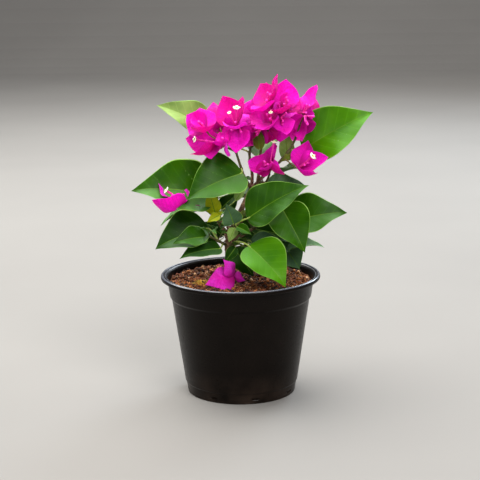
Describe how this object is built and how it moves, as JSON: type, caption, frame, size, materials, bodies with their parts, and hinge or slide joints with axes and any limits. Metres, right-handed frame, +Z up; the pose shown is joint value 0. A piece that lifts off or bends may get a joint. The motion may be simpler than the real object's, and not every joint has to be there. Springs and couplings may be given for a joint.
{
  "type": "potted bougainvillea bush",
  "caption": "Young bushy plant with large leaves and papery three-bract blossom, in a stepped round nursery pot filled with potting mix.",
  "frame": {"origin": "centre of the pot's flat underside", "axes": "+Z up along the pot's axis, +X to the right of the front view, +Y to the back; the front faces -Y"},
  "size_m": [0.2255, 0.1576, 0.3037],
  "materials": {
    "pot_plastic": "satin",
    "mix": "rough",
    "bark": "rough",
    "leaf": "satin",
    "blossom": "matte"
  },
  "bodies": {
    "root": {"pot": "pot_plastic", "potting_mix": "mix", "trunk": "bark", "middle_bough": "bark", "left_low_bough": "bark", "right_low_bough": "bark", "back_left_bough": "bark", "back_right_bough": "bark", "left_high_bough": "bark", "right_high_bough": "bark", "back_high_bough": "bark", "top_bough": "bark", "left_leaves": "leaf", "low_left_leaves": "leaf", "front_leaves": "leaf", "low_front_leaves": "leaf", "right_leaves": "leaf", "low_right_leaves": "leaf", "left_crown": "blossom", "top_crown": "blossom", "right_crown": "blossom", "small_blossom": "blossom", "back_crown": "blossom", "back_left_leaves": "leaf", "back_right_leaves": "leaf", "fallen_blossom": "blossom"}
  },
  "joints": []
}
